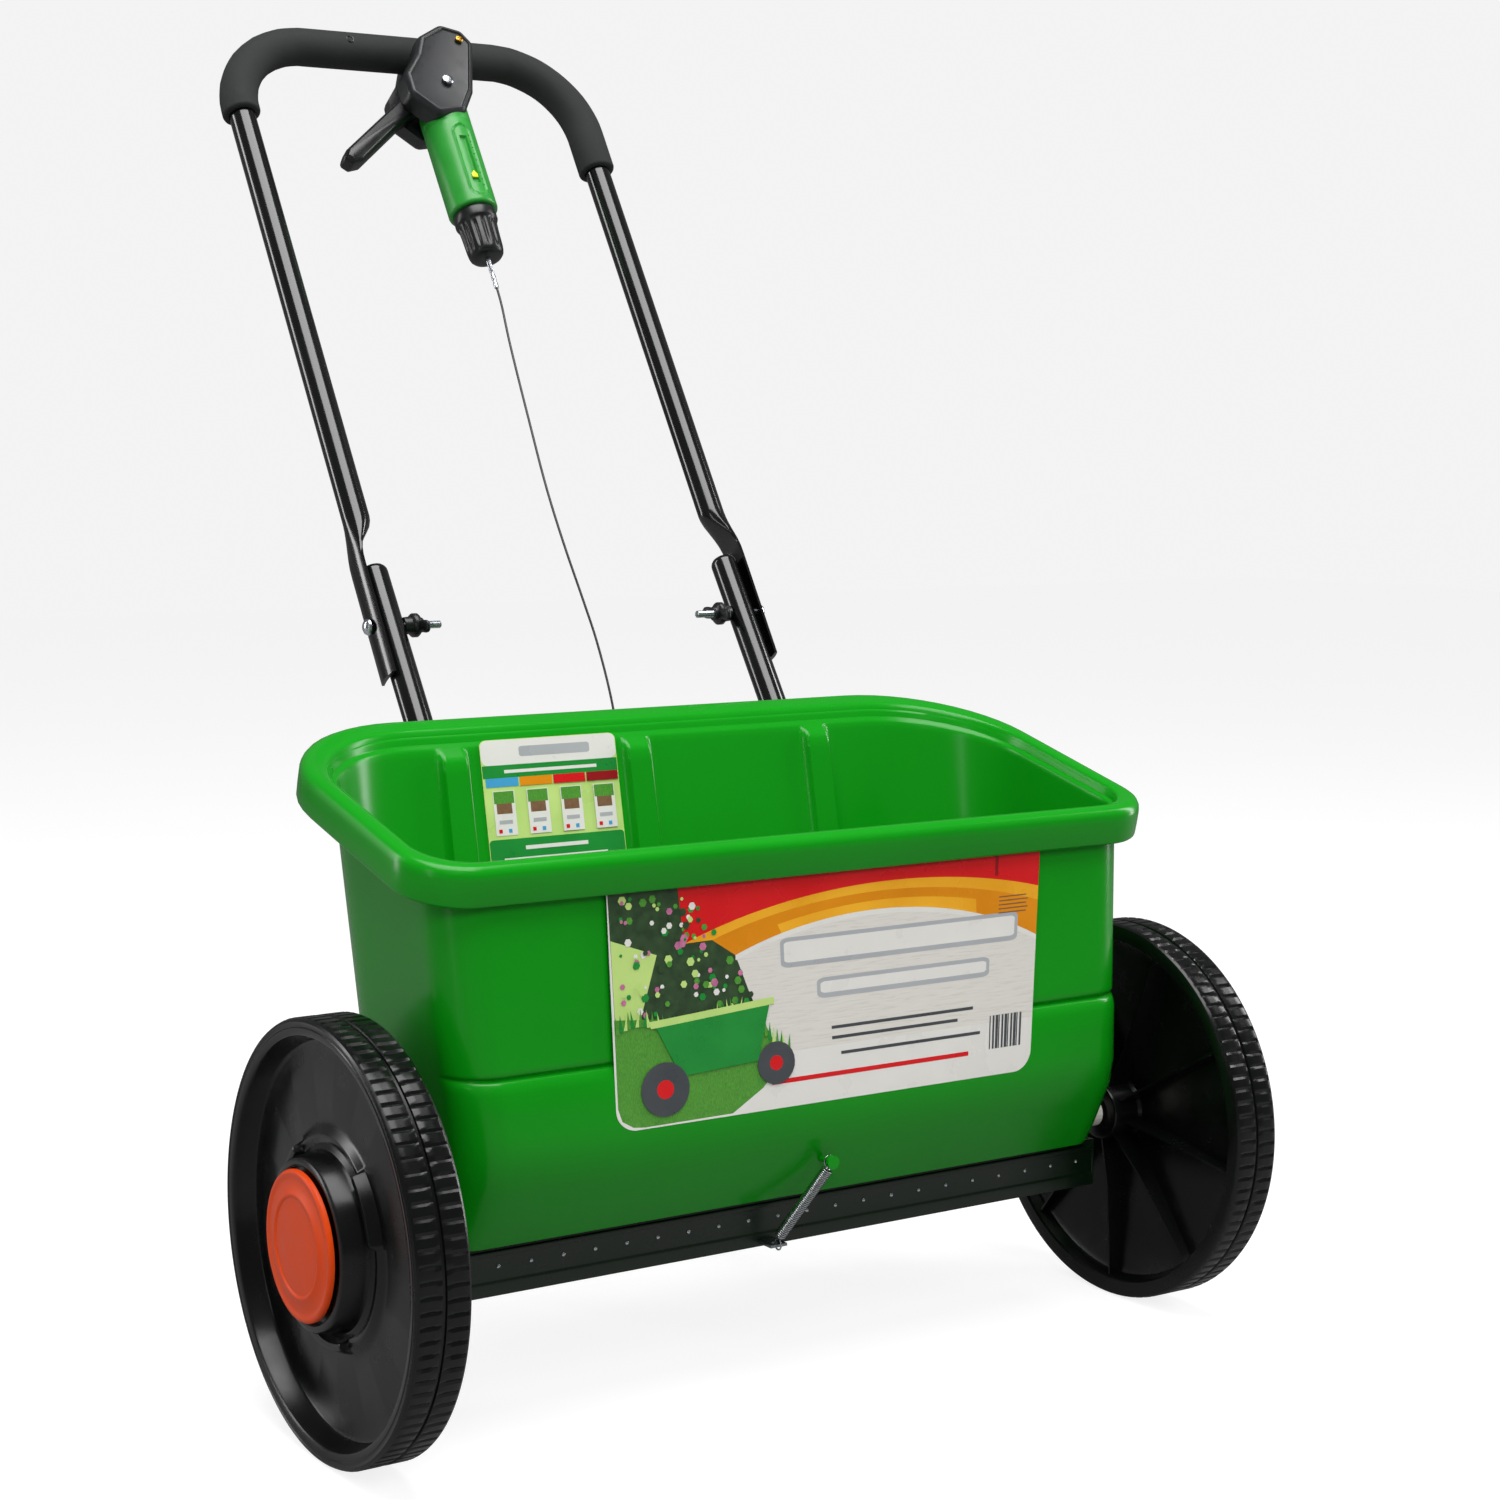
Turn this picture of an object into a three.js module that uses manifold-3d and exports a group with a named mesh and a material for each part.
// Push-type drop spreader for lawns. Millimetres, +Z up, -Y is the front, X runs along the axle.
// Built with the axle above y = 0, then moved so the origin is the bottom centre of the whole object.
import * as THREE from 'three';
import Module from 'manifold-3d';
import { mergeVertices } from 'three/addons/utils/BufferGeometryUtils.js';
import { ConvexGeometry } from 'three/addons/geometries/ConvexGeometry.js';

const wasm = await Module();
wasm.setup();

// ---- driving dimensions ----------------------------------------------------------------------
const GAP = 0.3;
const SHIFT_Y = -233.25;            // brings the middle of the object's depth to y = 0
const WHEEL_R = 150;
const WHEEL_IN = 323, WHEEL_OUT = 363;
const CAP_R = 51, CAP_OUT = 377;
const AXLE_R = 6;
const RIM_TILT = 14.77 * Math.PI / 180;
const RIM = { halfX: 315, front: -5, back: 278, top: 261.8, skirt: 28, wall: 4, rFront: 45, rBack: 110 };
const WALL = 3;
const SECTIONS = [                 // outside of the tub: half length, front, back, height
  { hx: 283, yf: -69, yb: 126, z: 210 },
  { hx: 282, yf: -67, yb: 116, z: 190 },
  { hx: 281, yf: -56, yb: 84, z: 165 },
  { hx: 280, yf: -38, yb: 48, z: 138 },
];
const BASE = { hx: 283, yf: -29, yb: 45, top: 137.7, bottom: 101.5, floor: 107, floorT: 2.5, wall: 2.5 };
const SHUTTER = { z: 104.2, t: 2, travel: 12 };
const HOLES = 22, HOLE_PITCH = 25.4, HOLE_R = 4.5;
const TUBE_R = 11, TUBE_BORE = 9.6;
const LOWER_X = 162, UPPER_X = 165;
const JOINT = [287, 536.8];        // y, z of the handle bolts
const DIR = [0.531, 0.8474];       // y, z direction of the upper handle
const BAR_S = 564;                 // distance from the bolts up to the top bar
const CTRL = { x: 22, d: 6 };      // axis of the control sleeve

// ---- helpers ---------------------------------------------------------------------------------
const V = (x, y, z) => new THREE.Vector3(x, y, z);
const group = new THREE.Group();

function solid(geometry) {
  const g = geometry.clone();
  for (const name of ['normal', 'uv']) g.deleteAttribute(name);
  const m = mergeVertices(g, 1e-4);
  return new wasm.Manifold(new wasm.Mesh({
    numProp: 3,
    vertProperties: new Float32Array(m.attributes.position.array),
    triVerts: new Uint32Array(m.index.array),
  }));
}

function geometryOf(manifold) {
  const mesh = manifold.getMesh();
  const g = new THREE.BufferGeometry();
  g.setAttribute('position', new THREE.BufferAttribute(new Float32Array(mesh.vertProperties), 3));
  g.setIndex(new THREE.BufferAttribute(new Uint32Array(mesh.triVerts), 1));
  g.computeVertexNormals();
  return g;
}

function put(name, shape, color, roughness, metalness = 0) {
  const geometry = shape.isBufferGeometry ? shape : geometryOf(shape);
  const mesh = new THREE.Mesh(geometry, new THREE.MeshStandardMaterial({ color, roughness, metalness }));
  mesh.name = name;
  mesh.position.y = SHIFT_Y;
  group.add(mesh);
}

const box = (x0, x1, y0, y1, z0, z1) => solid(
  new THREE.BoxGeometry(x1 - x0, y1 - y0, z1 - z0).translate((x0 + x1) / 2, (y0 + y1) / 2, (z0 + z1) / 2));

// A round bar between two points; r1 at the far end makes a cone.
function rod(a, b, r, sides = 20, r1 = r) {
  const dir = b.clone().sub(a);
  const g = new THREE.CylinderGeometry(r1, r, dir.length(), sides);
  g.applyQuaternion(new THREE.Quaternion().setFromUnitVectors(V(0, 1, 0), dir.clone().normalize()));
  const mid = a.clone().add(b).multiplyScalar(0.5);
  return solid(g.translate(mid.x, mid.y, mid.z));
}

// A path straight from point to point, sampled only at those points.
function polyline(points) {
  const path = new THREE.CurvePath();
  const last = points.length - 1;
  path.points = points;
  path.getPoint = (t) => {
    const i = Math.min(Math.floor(t * last), last - 1);
    return points[i].clone().lerp(points[i + 1], t * last - i);
  };
  path.getPointAt = path.getPoint;
  path.getSpacedPoints = () => points;
  path.getTangentAt = (t) => {
    const i = Math.round(t * last);
    return points[Math.min(i + 1, last)].clone().sub(points[Math.max(i - 1, 0)]).normalize();
  };
  return path;
}

// A route through corner points with every inner corner rounded to one radius.
function route(corners, radius, arcSteps = 6) {
  const points = [corners[0]];
  for (let i = 1; i < corners.length - 1; i++) {
    const p = corners[i];
    const u = corners[i - 1].clone().sub(p).normalize();
    const w = corners[i + 1].clone().sub(p).normalize();
    const half = u.angleTo(w) / 2;
    const cut = radius / Math.tan(half);
    const centre = p.clone().add(u.clone().add(w).normalize().multiplyScalar(radius / Math.sin(half)));
    const a = p.clone().addScaledVector(u, cut).sub(centre);
    const b = p.clone().addScaledVector(w, cut).sub(centre);
    const sweep = a.angleTo(b);
    for (let k = 0; k <= arcSteps; k++) {
      const t = k / arcSteps;
      points.push(a.clone().multiplyScalar(Math.sin((1 - t) * sweep))
        .addScaledVector(b, Math.sin(t * sweep)).divideScalar(Math.sin(sweep)).add(centre));
    }
  }
  points.push(corners.at(-1));
  return polyline(points);
}

function circle(r, sides) {
  const pts = [];
  for (let i = 0; i < sides; i++) {
    const a = 2 * Math.PI * i / sides;
    pts.push(new THREE.Vector2(r * Math.cos(a), r * Math.sin(a)));
  }
  return new THREE.Shape(pts);
}

function tube(path, r, bore = 0, sides = 20) {
  const shape = circle(r, sides);
  if (bore) shape.holes.push(circle(bore, sides));
  return solid(new THREE.ExtrudeGeometry(shape, { extrudePath: path, steps: path.points.length - 1 }));
}

// A closed lathe profile of [radius, x] pairs turned about the X axis at the axle's height.
function turned(profile, sides = 48) {
  const closed = profile.concat([profile[0]]);
  const area = closed.slice(1).reduce((sum, [r, x], i) => sum + closed[i][0] * x - r * closed[i][1], 0);
  const pts = (area > 0 ? closed : closed.reverse()).map(([r, x]) => new THREE.Vector2(r, x));
  const g = new THREE.LatheGeometry(pts, sides).rotateZ(-Math.PI / 2);
  return solid(g.translate(0, 0, WHEEL_R));
}

// A flat outline in the handle's plane: x across, s up the handle, d out of its front face.
const handlePoint = (x, s, d) => V(x, JOINT[0] + s * DIR[0] - d * DIR[1], JOINT[1] + s * DIR[1] + d * DIR[0]);
const handleFrame = new THREE.Matrix4().makeBasis(V(1, 0, 0), V(0, DIR[0], DIR[1]), V(0, -DIR[1], DIR[0]))
  .setPosition(0, JOINT[0], JOINT[1]);

function handlePlate(outline, d0, d1) {
  const shape = new THREE.Shape(outline.map(([x, s]) => new THREE.Vector2(x, s)));
  const g = new THREE.ExtrudeGeometry(shape, { depth: d1 - d0, bevelEnabled: false }).translate(0, 0, d0);
  return solid(g.applyMatrix4(handleFrame));
}

const handleRod = (x, s0, s1, r, d = CTRL.d, sides = 24, r1 = r) =>
  rod(handlePoint(x, s0, d), handlePoint(x, s1, d), r, sides, r1);

const sides = [['left', -1], ['right', 1]];

// ---- hopper ----------------------------------------------------------------------------------
// Rounded rectangle, front corners rf and back corners rb, lifted to a height.
function outline(hx, yf, yb, rf, rb, lift) {
  const pts = [];
  const corner = (cx, cy, r, from) => {
    for (let k = 0; k <= 6; k++) {
      const a = from + k * Math.PI / 12;
      pts.push(lift(cx + r * Math.cos(a), cy + r * Math.sin(a)));
    }
  };
  corner(hx - rb, yb - rb, rb, 0);
  corner(-hx + rb, yb - rb, rb, Math.PI / 2);
  corner(-hx + rf, yf + rf, rf, Math.PI);
  corner(hx - rf, yf + rf, rf, 1.5 * Math.PI);
  return pts;
}

// Point of the tilted rim: x, distance back along the rim, height above the axle square to the rim.
const rimPoint = (x, y, h) => V(x, y * Math.cos(RIM_TILT) - h * Math.sin(RIM_TILT),
  WHEEL_R + y * Math.sin(RIM_TILT) + h * Math.cos(RIM_TILT));

// Body of the tub inside one offset; lift carries its slanting walls on above the rim.
function tub(inset, lift, floorZ) {
  const pts = outline(298 - inset + 0.07 * lift, 12 + inset + 0.342 * lift, 252 - inset + 0.489 * lift,
    36 - inset, 96 - inset, (x, y) => rimPoint(x, y, RIM.top - 1 + lift));
  for (const s of SECTIONS) {
    const z = s === SECTIONS.at(-1) ? floorZ : s.z;
    const rb = Math.min(60, (s.yb - s.yf) / 2 - 4) - inset;
    pts.push(...outline(s.hx - inset, s.yf + inset, s.yb - inset, Math.min(30, rb), rb, (x, y) => V(x, y, z)));
  }
  return solid(new ConvexGeometry(pts));
}

function rimBlock(inset, h0, h1) {
  const o = (h) => outline(RIM.halfX - inset, RIM.front + inset, RIM.back - inset, RIM.rFront - inset,
    RIM.rBack - inset, (x, y) => rimPoint(x, y, h));
  return solid(new ConvexGeometry([...o(h0), ...o(h1)]));
}

// Outer faces of the rear and front walls at a height.
const wallY = (z) => 126 + (z - 210) * 0.1997;
const frontY = (z) => -69 + (z - 210) * 0.0724;
const screwHoles = [];

// A bolt along Y through a tube at axisY and the rear wall: nut behind the tube, round head inside the tub.
function wallBolt(name, x, axisY, z, tubeR) {
  const inner = wallY(z) - WALL - 1.7;
  const bolt = rod(V(x, inner - 2.4, z), V(x, axisY + tubeR + 7, z), 3, 16)
    .add(rod(V(x, axisY + tubeR + 1.8, z), V(x, axisY + tubeR + 6, z), 5.5, 6))
    .add(rod(V(x, inner - 2.4, z), V(x, inner, z), 6, 16));
  const hole = rod(V(x, inner - 30, z), V(x, axisY + 40, z), 3 + GAP, 16);
  screwHoles.push(hole, rod(V(x, inner - 30, z), V(x, inner + 0.4, z), 6.8, 16));
  put(name, bolt, STEEL, 0.35, 1);
  return hole;
}

let hopper = tub(0, 0, SECTIONS.at(-1).z)
  .add(rimBlock(0, RIM.top - RIM.skirt, RIM.top)
    .subtract(rimBlock(RIM.wall, RIM.top - 60, RIM.top - RIM.wall)));
const cavity = tub(WALL, 13, SECTIONS.at(-1).z + 4);
hopper = hopper.subtract(cavity)
  .subtract(box(-270, 270, -26, 42, 130, 150));
// Three stiffening ribs on the inside of the rear wall.
for (const x of [-170, -12, 155]) {
  const rib = new ConvexGeometry([215, 455].flatMap((z) => [-12, 12].flatMap((dx) => [
    V(x + dx, wallY(z) - 1, z), V(x + dx, wallY(z) - 9, z)])));
  hopper = hopper.add(solid(rib));
}
hopper = hopper.subtract(rod(V(-320, 0, WHEEL_R), V(320, 0, WHEEL_R), 12 + GAP, 24));
const GREEN = 0x23a02b, BLACK = 0x17181a, STEEL = 0xb9bcc0, PAINT = 0x101114, GREY = 0x3b3d40;
put('hopper', hopper, GREEN, 0.35);

// ---- metering base, shutter ------------------------------------------------------------------
const B = BASE;
let base = box(-B.hx, B.hx, B.yf, B.yb, B.bottom, B.top)
  .subtract(box(-B.hx + B.wall, B.hx - B.wall, B.yf + B.wall, B.yb - B.wall, B.floor + B.floorT, B.top + 5))
  .subtract(box(-B.hx + B.wall, B.hx - B.wall, B.yf + B.wall, B.yb - B.wall, B.bottom + 2.2, B.floor))
  .subtract(box(-B.hx + B.wall, B.hx - B.wall, B.yf + 10, B.yb - 10, B.bottom - 5, B.bottom + 3));
const holeX = Array.from({ length: HOLES }, (_, i) => (i - (HOLES - 1) / 2) * HOLE_PITCH);
const holeY = (B.yf + B.yb) / 2;
for (const x of holeX) base = base.subtract(rod(V(x, holeY, B.floor - 1), V(x, holeY, B.floor + 4), HOLE_R,
  12));
const TAB_FRONT = -23, TAB_REAR = 35, ARM_Y = 140;
base = base.subtract(box(TAB_FRONT - 22, TAB_FRONT + 9, B.yf - 1, B.yf + 5, B.bottom + 2, B.floor))
  .subtract(box(TAB_REAR - 26, TAB_REAR + 13, B.yb - 5, B.yb + 1, B.bottom + 2, B.floor));
put('metering_base', base, 0x1b2a1d, 0.5);

const S = SHUTTER;
let shutter = box(-B.hx + 18, B.hx - 6, B.yf + 4, B.yb - 4, S.z, S.z + S.t);
for (const x of holeX) {
  shutter = shutter.subtract(rod(V(x + S.travel, holeY, S.z - 1), V(x + S.travel, holeY, S.z + 4), HOLE_R,
    12));
}
shutter = shutter
  .add(box(TAB_FRONT - 7, TAB_FRONT + 7, B.yf - 17, B.yf + 6, S.z, S.z + S.t))
  .subtract(rod(V(TAB_FRONT, B.yf - 11, S.z - 2), V(TAB_FRONT, B.yf - 11, S.z + 5), 2.6, 12))
  .add(box(TAB_REAR - 10, TAB_REAR + 10, B.yb - 6, ARM_Y + 8, S.z, S.z + S.t))
  .subtract(box(TAB_REAR - 3.4, TAB_REAR + 3.4, ARM_Y - 8, ARM_Y + 4, S.z - 2, S.z + 5));
put('shutter_plate', shutter, 0x8d9094, 0.4, 0.8);

// ---- return spring at the front --------------------------------------------------------------
const ANCHOR = V(5, frontY(175) + 6, 168);
const springTop = V(ANCHOR.x, -68, ANCHOR.z - 4.4), springLow = V(TAB_FRONT, B.yf - 15.4, 110.2);
function coil(a, b, coilR, wireR, turns) {
  const axis = b.clone().sub(a);
  const n = axis.clone().normalize();
  const u = V(0, 1, 0).cross(n).normalize();
  const w = n.clone().cross(u);
  const pts = [a.clone()];
  for (let i = 0; i <= turns * 6; i++) {
    const t = i / (turns * 6);
    const angle = 2 * Math.PI * turns * t;
    pts.push(a.clone().addScaledVector(axis, 0.04 + 0.92 * t).addScaledVector(u, coilR * Math.cos(angle))
      .addScaledVector(w, coilR * Math.sin(angle)));
  }
  pts.push(b.clone());
  return tube(polyline(pts), wireR, 0, 6);
}
const hook = () => new THREE.TorusGeometry(4, 0.6, 6, 16);
put('return_spring', coil(springTop, springLow, 3.6, 0.6, 11)
  .add(solid(hook().rotateX(Math.PI / 2).translate(ANCHOR.x, -68, ANCHOR.z)))
  .add(solid(hook().rotateY(Math.PI / 2).translate(TAB_FRONT, B.yf - 15.4, 106))), 0xd0d3d6, 0.25, 1);
const anchor = rod(V(ANCHOR.x, -52, ANCHOR.z), V(ANCHOR.x, -74, ANCHOR.z), 2.2, 12)
  .add(rod(V(ANCHOR.x, -71, ANCHOR.z), V(ANCHOR.x, -74, ANCHOR.z), 5, 12));
screwHoles.push(rod(V(ANCHOR.x, -40, ANCHOR.z), V(ANCHOR.x, -90, ANCHOR.z), 2.2 + GAP, 12));
put('spring_anchor', anchor, STEEL, 0.35, 1);

// ---- shut-off arm behind the base ------------------------------------------------------------
const PIVOT = V(TAB_REAR, ARM_Y, 190), ARM_REACH = 40;
const armOutline = new THREE.Shape([[-9, -9], [9, -9], [9, 9],
  [-9, 9]].map(([x, z]) => new THREE.Vector2(x, z)));
let arm = solid(new THREE.ExtrudeGeometry(armOutline, { depth: 3, bevelEnabled: false })
  .rotateX(Math.PI / 2).translate(PIVOT.x, ARM_Y + 1.5, PIVOT.z))
  .add(box(PIVOT.x - ARM_REACH - 7, PIVOT.x, ARM_Y - 1.5, ARM_Y + 1.5, PIVOT.z - 6, PIVOT.z + 6))
  .add(box(PIVOT.x - 6, PIVOT.x + 6, ARM_Y - 1.5, ARM_Y + 1.5, 112, PIVOT.z))
  .add(rod(V(PIVOT.x, ARM_Y, 116), V(PIVOT.x, ARM_Y, 101), 3, 16))
  .add(box(PIVOT.x - 4, PIVOT.x + 4, ARM_Y - 1.5, ARM_Y + 1.5, 108, 118))
  .subtract(rod(V(PIVOT.x, ARM_Y - 9, PIVOT.z), V(PIVOT.x, ARM_Y + 9, PIVOT.z), 3.3, 16))
  .subtract(rod(V(PIVOT.x - ARM_REACH, ARM_Y - 9, PIVOT.z), V(PIVOT.x - ARM_REACH, ARM_Y + 9, PIVOT.z), 2.3,
    16));
put('shutoff_arm', arm, STEEL, 0.4, 1);
const armBolt = rod(V(PIVOT.x, 106, PIVOT.z), V(PIVOT.x, ARM_Y + 6, PIVOT.z), 3, 16)
  .add(rod(V(PIVOT.x, ARM_Y + 2, PIVOT.z), V(PIVOT.x, ARM_Y + 6, PIVOT.z), 6, 6))
  .add(rod(V(PIVOT.x, 124, PIVOT.z), V(PIVOT.x, ARM_Y - 2, PIVOT.z), 5, 16));
put('arm_pivot_bolt', armBolt, STEEL, 0.35, 1);

// ---- axle, agitator, bushes ------------------------------------------------------------------
put('axle', rod(V(-370, 0, WHEEL_R), V(369.5, 0, WHEEL_R), AXLE_R, 24)
  .subtract(rod(V(367, 0, WHEEL_R - 12), V(367, 0, WHEEL_R + 12), 1.6 + GAP, 12)), STEEL, 0.3, 1);
let agitator = rod(V(-262, 0, WHEEL_R), V(262, 0, WHEEL_R), 9, 16);
for (let i = 0; i < 12; i++) {
  const x = (i - 5.5) * 44;
  const a = i * Math.PI / 3;
  agitator = agitator.add(rod(V(x, 0, WHEEL_R), V(x, 22 * Math.cos(a), WHEEL_R + 22 * Math.sin(a)), 3, 8));
}
agitator = agitator.subtract(rod(V(-300, 0, WHEEL_R), V(300, 0, WHEEL_R), AXLE_R + GAP, 24));
put('agitator', agitator, 0x9a9da1, 0.5, 0.8);
for (const [side, k] of sides) {
  const bush = turned([[AXLE_R + GAP, 272], [12, 272], [12, 283.4], [16, 283.4], [16, 286], [11, 287],
    [11, 309],
    [AXLE_R + GAP, 309]].map(([r, x]) => [r, k * x]), 20);
  put(`axle_bush_${side}`, bush, 0xdadbd6, 0.5);
}

// ---- wheels, caps ----------------------------------------------------------------------------
const wheelProfile = [[AXLE_R + GAP, 312], [22, 312], [24, 336], [138, 334], [141, WHEEL_IN],
  [147, WHEEL_IN], [WHEEL_R, WHEEL_IN + 4],
  [WHEEL_R, WHEEL_OUT - 4], [147, WHEEL_OUT], [141, WHEEL_OUT], [137, 351], [112, 344], [60, 348],
    [56, 370], [20, 370],
  [20, 364], [AXLE_R + GAP, 364]];
for (const [side, k] of sides) {
  let wheel = turned(wheelProfile.map(([r, x]) => [r, k * x]), 44);
  for (let i = 0; i < 9; i++) {
    const rib = new THREE.BoxGeometry(12, 3, 118).translate(k * 330, 0, 80.5).rotateX(i * 2 * Math.PI / 9);
    wheel = wheel.add(solid(rib.translate(0, 0, WHEEL_R)));
  }
  put(`${side}_wheel`, wheel, BLACK, 0.4);
  const cap = turned([[0, 371], [CAP_R, 371], [CAP_R, 374.5], [CAP_R - 3, CAP_OUT - 0.6], [30, CAP_OUT],
    [0, CAP_OUT]]
    .map(([r, x]) => [r, k * x]), 36);
  put(`${side}_hub_cap`, cap, 0xf1591c, 0.4);
}
put('retaining_ring', turned([[AXLE_R + GAP, -364.4], [9.5, -364.4], [9.5, -367], [AXLE_R + GAP, -367]],
  24), STEEL,
  0.35, 1);
put('drive_pin', rod(V(367, 0, WHEEL_R - 9), V(367, 0, WHEEL_R + 9), 1.6, 12), STEEL, 0.35, 1);

// ---- lower handle tubes ----------------------------------------------------------------------
const lowerRoute = (x) => [V(x, wallY(225) + 12.4, 225), V(x, 168.6, 360.3),
  V(x, JOINT[0] + 25.5, JOINT[1] + 39)];
for (const [side, k] of sides) {
  let lower = tube(route(lowerRoute(k * LOWER_X), 60), TUBE_R, TUBE_BORE, 20);
  for (const [z, where] of [[245, 'low'], [300, 'high']]) {
    lower = lower.subtract(wallBolt(`tube_bolt_${side}_${where}`, k * LOWER_X, wallY(z) + 12.4, z, TUBE_R));
  }
  lower = lower.subtract(rod(V(k * 140, ...JOINT), V(k * 190, ...JOINT), 3 + GAP, 16));
  put(`lower_tube_${side}`, lower, PAINT, 0.25, 0.2);
}

// ---- rear stand ------------------------------------------------------------------------------
const STAND_R = 9.5, STAND_X = 118, FOOT_Y = 298;
let stand = tube(route([V(-STAND_X, wallY(262) + 11, 262), V(-STAND_X, wallY(218) + 11, 218),
  V(-STAND_X, FOOT_Y, 16),
  V(STAND_X, FOOT_Y, 16), V(STAND_X, wallY(218) + 11, 218), V(STAND_X, wallY(262) + 11, 262)], 30, 4),
    STAND_R, 8.1, 16);
for (const [side, k] of sides) {
  stand = stand.subtract(wallBolt(`stand_bolt_${side}`, k * STAND_X, wallY(248) + 11, 248, STAND_R));
  const foot = box(k * 66 - 16, k * 66 + 16, FOOT_Y - 14, FOOT_Y + 14, 0, 15)
    .subtract(rod(V(k * 66 - 30, FOOT_Y, 16), V(k * 66 + 30, FOOT_Y, 16), STAND_R + GAP, 16));
  put(`foot_${side}`, foot, 0x202122, 0.9);
}
put('rear_stand', stand, PAINT, 0.25, 0.2);
for (const hole of screwHoles) hopper = hopper.subtract(hole);
hopper = hopper.subtract(rod(V(PIVOT.x, 90, PIVOT.z), V(PIVOT.x, 150, PIVOT.z), 3 + GAP, 16));
group.children.find((m) => m.name === 'hopper').geometry = geometryOf(hopper);

// ---- printed labels --------------------------------------------------------------------------
const frontAngle = Math.atan(0.0724);
const labelShape = new THREE.Shape([[-173, 163], [-170, 12], [-160, 0], [165, 0], [175, 10], [202, 163]]
  .map(([x, z]) => new THREE.Vector2(x, z)));
const frontLabel = new THREE.ExtrudeGeometry(labelShape, { depth: 0.6, bevelEnabled: false })
  .rotateX(Math.PI / 2 - frontAngle).translate(0, frontY(213) - 0.4, 213);
put('front_label', frontLabel, 0xd9dadb, 0.35);

// ---- handle bolts, wing nuts -----------------------------------------------------------------
for (const [side, k] of sides) {
  const at = (x) => V(k * x, ...JOINT);
  put(`handle_bolt_${side}`, rod(at(118), at(182), 3, 16)
    .add(rod(at(179.5), at(184), 6.5, 16)), STEEL, 0.3, 1);
  const nut = rod(at(134), at(150.7), 6, 20).add(rod(at(136), at(142), 9, 20))
    .add(box(Math.min(k * 136, k * 141), Math.max(k * 136, k * 141), JOINT[0] - 20, JOINT[0] + 20,
      JOINT[1] - 5, JOINT[1] + 5))
    .subtract(rod(at(110), at(190), 3 + GAP, 16));
  put(`wing_nut_${side}`, nut, 0x141416, 0.45);
}

// ---- upper handle ----------------------------------------------------------------------------
const H = handlePoint;
let upper = tube(route([H(-UPPER_X, 60, 0), H(-UPPER_X, BAR_S, 0), H(UPPER_X, BAR_S, 0), H(UPPER_X, 60, 0)],
  75, 6),
  TUBE_R, TUBE_BORE, 20);
for (const [, k] of sides) {
  const x0 = k > 0 ? 173.4 : -178.4;
  upper = upper.add(handlePlate([[x0, -45], [x0 + 5, -45], [x0 + 5, 96], [x0, 96]], -11, 11))
    .subtract(rod(V(k * 165, ...JOINT), V(k * 190, ...JOINT), 3 + GAP, 16));
}
put('upper_handle_tube', upper, PAINT, 0.25, 0.2);
const grip = tube(route([H(-UPPER_X, 486, 0), H(-UPPER_X, BAR_S, 0), H(UPPER_X, BAR_S, 0),
  H(UPPER_X, 449, 0)], 75, 6),
  16, TUBE_R + GAP, 24);
put('foam_grip', grip, 0x4a4c50, 0.95);

// ---- control on the top bar ------------------------------------------------------------------
const C = CTRL;
const plateOutline = [[5, 479], [32, 484], [46, 507], [61, 560], [52, 574], [32, 579], [8, 564], [0, 545],
  [-17, 522],
  [-17, 500]];
const barBore = rod(H(-60, BAR_S, 0), H(120, BAR_S, 0), 16 + GAP, 32);
const sleeveBore = handleRod(C.x, 380, 497, 21.5 + GAP);
const pinBore = rod(H(22, 516, -60), H(22, 516, 60), 3 + GAP, 16);
const screwAt = (d) => H(46, 562, d);
const screwBore = rod(screwAt(20), screwAt(60), 2.2 + GAP, 12);
const leverRoom = handlePlate([[-40, 460], [80, 460], [80, 541.5], [-40, 541.5]], -9.5, 9.5);
const front = handlePlate(plateOutline, GAP / 2, 30).subtract(barBore).subtract(sleeveBore).subtract(pinBore)
  .subtract(leverRoom).subtract(screwBore);
put('control_housing_front', front, GREY, 0.5);
const back = handlePlate(plateOutline, -26, -GAP / 2).subtract(barBore).subtract(sleeveBore).subtract(pinBore)
  .subtract(leverRoom);
put('control_housing_back', back, GREY, 0.5);
put('housing_screw', rod(screwAt(20.5), screwAt(31.5), 2.2, 12).add(rod(screwAt(30.3), screwAt(32), 4.5, 16)),
  0xb08d3c, 0.35, 1);
put('lever_pin', rod(H(22, 516, -28), H(22, 516, 32), 3, 16).add(rod(H(22, 516, 30.3), H(22, 516, 32), 5, 16)),
  STEEL, 0.25, 1);
const lever = handlePlate([[12, 508], [22, 506], [32, 510], [33, 520], [26, 527], [16, 526], [-14, 507],
  [-79, 445],
  [-83, 436], [-77, 431], [-68, 434], [-22, 478]], -9, 9).subtract(pinBore);
put('lever', lever, GREY, 0.5);

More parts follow.
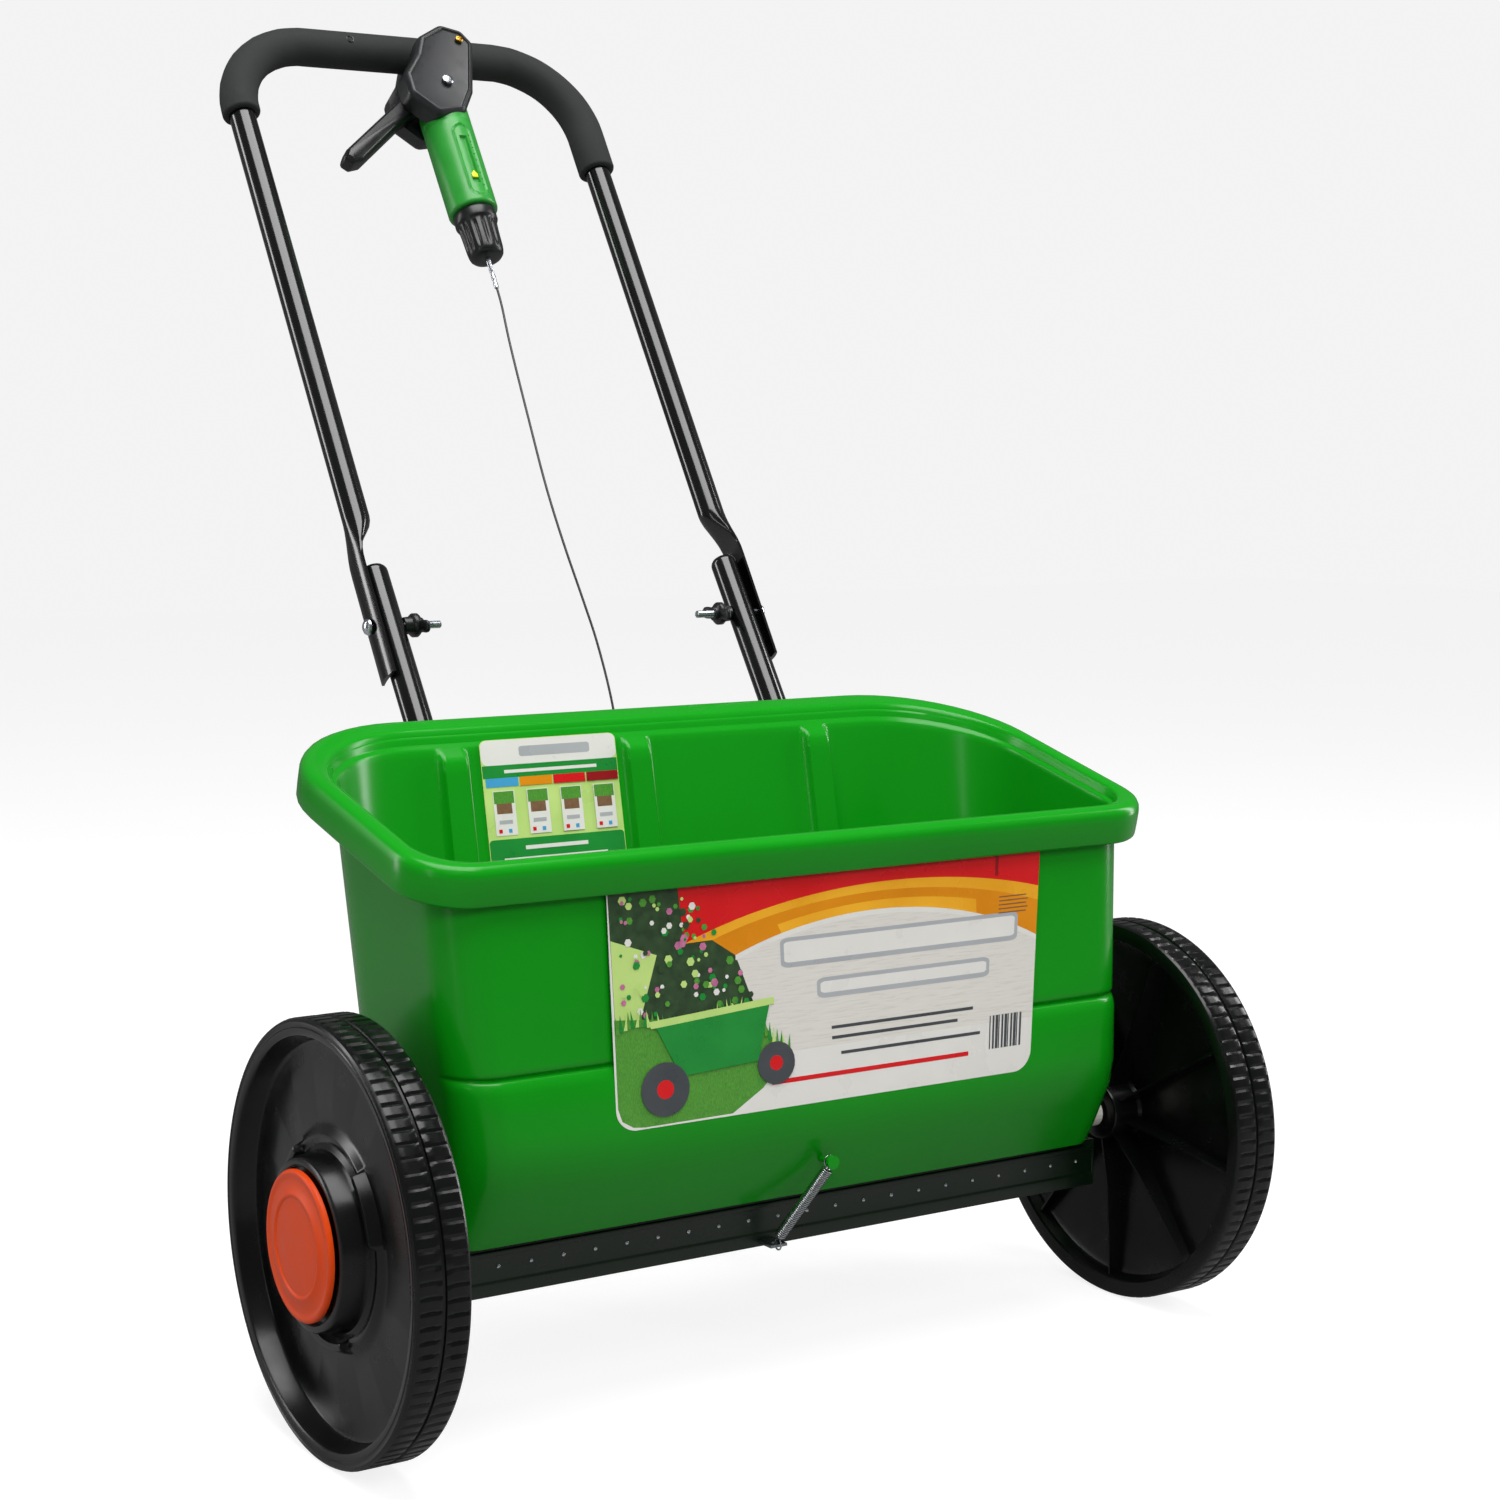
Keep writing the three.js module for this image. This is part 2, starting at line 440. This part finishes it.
const knobTop = 391;
let sleeve = handleRod(C.x, knobTop + GAP, 496.7, 21.5, C.d, 32);
sleeve = sleeve.subtract(handleRod(C.x, 380, 520, 6, C.d, 16))
  .subtract(handlePlate([[C.x - 4, 401], [C.x + 4, 401], [C.x + 5, 461], [C.x - 5, 461]], C.d + 18, C.d + 30))
  .subtract(handlePlate([[-60, 490], [80, 490], [80, 520], [-60, 520]], -9.8, 9.8));
put('dial_sleeve', sleeve, 0x2f9a3c, 0.4);
const knob = handleRod(C.x, knobTop - 12, knobTop, 18.5, C.d, 24)
  .add(handleRod(C.x, knobTop - 46, knobTop - 12, 14.5, C.d, 24, 18.5))
  .subtract(handleRod(C.x, 300, 420, 2.4, C.d, 16));
put('dial_knob', knob, 0x141416, 0.5);
put('indicator', handlePlate([[C.x - 3, 416], [C.x + 3, 416], [C.x + 3, 423], [C.x - 3, 423]], C.d + 18.3,
  C.d + 20.5),
  0xc9d62a, 0.4);
const ferrule = handleRod(C.x, 316, 470, 2, C.d, 12).subtract(handleRod(C.x, 300, 480, 1.35, C.d, 12));
put('cable_ferrule', ferrule, STEEL, 0.25, 1);

// ---- control cable ---------------------------------------------------------------------------
const END = V(PIVOT.x - ARM_REACH, ARM_Y + 4.5, PIVOT.z);
const cableRoute = [H(C.x, 440, C.d), H(C.x, 380, C.d), H(C.x, 314, C.d), H(C.x - 0.5, 300, C.d),
  H(18, 262, 6), H(12, 184, 8), H(8, 116, 9), H(8, 64, 9),
  H(11, 13, 7), H(13, -24, 5), H(12, -79, 1), V(8, 220, 410), V(3, 196, 350), V(-2, 171, 285), V(-4, 153, 235),
  V(END.x, END.y, END.z + 12)];
const cableCurve = new THREE.CatmullRomCurve3(cableRoute, false, 'centripetal');
put('control_cable', solid(new THREE.ExtrudeGeometry(circle(1, 8), { extrudePath: cableCurve, steps: 56 })),
  0x1a1a1c, 0.4);
const fitting = rod(V(END.x, END.y, END.z - 4), V(END.x, END.y, END.z + 14), 2.6, 12)
  .subtract(rod(V(END.x, END.y, END.z + 8), V(END.x, END.y, END.z + 20), 1.7, 12))
  .add(rod(V(END.x, ARM_Y - 3, END.z), V(END.x, END.y, END.z), 2, 12))
  .add(rod(V(END.x, ARM_Y - 3.5, END.z), V(END.x, ARM_Y - 2, END.z), 3.6, 12));
put('cable_end_fitting', fitting, STEEL, 0.35, 1);

// ---- chart panel inside the rear wall --------------------------------------------------------
const chart = new THREE.BoxGeometry(117, 0.6, 96).rotateX(-Math.atan(0.1997)).translate(-88,
  wallY(410) - WALL - 0.9, 410);
put('chart_label', chart, 0x9fc9a0, 0.4);

export default group;
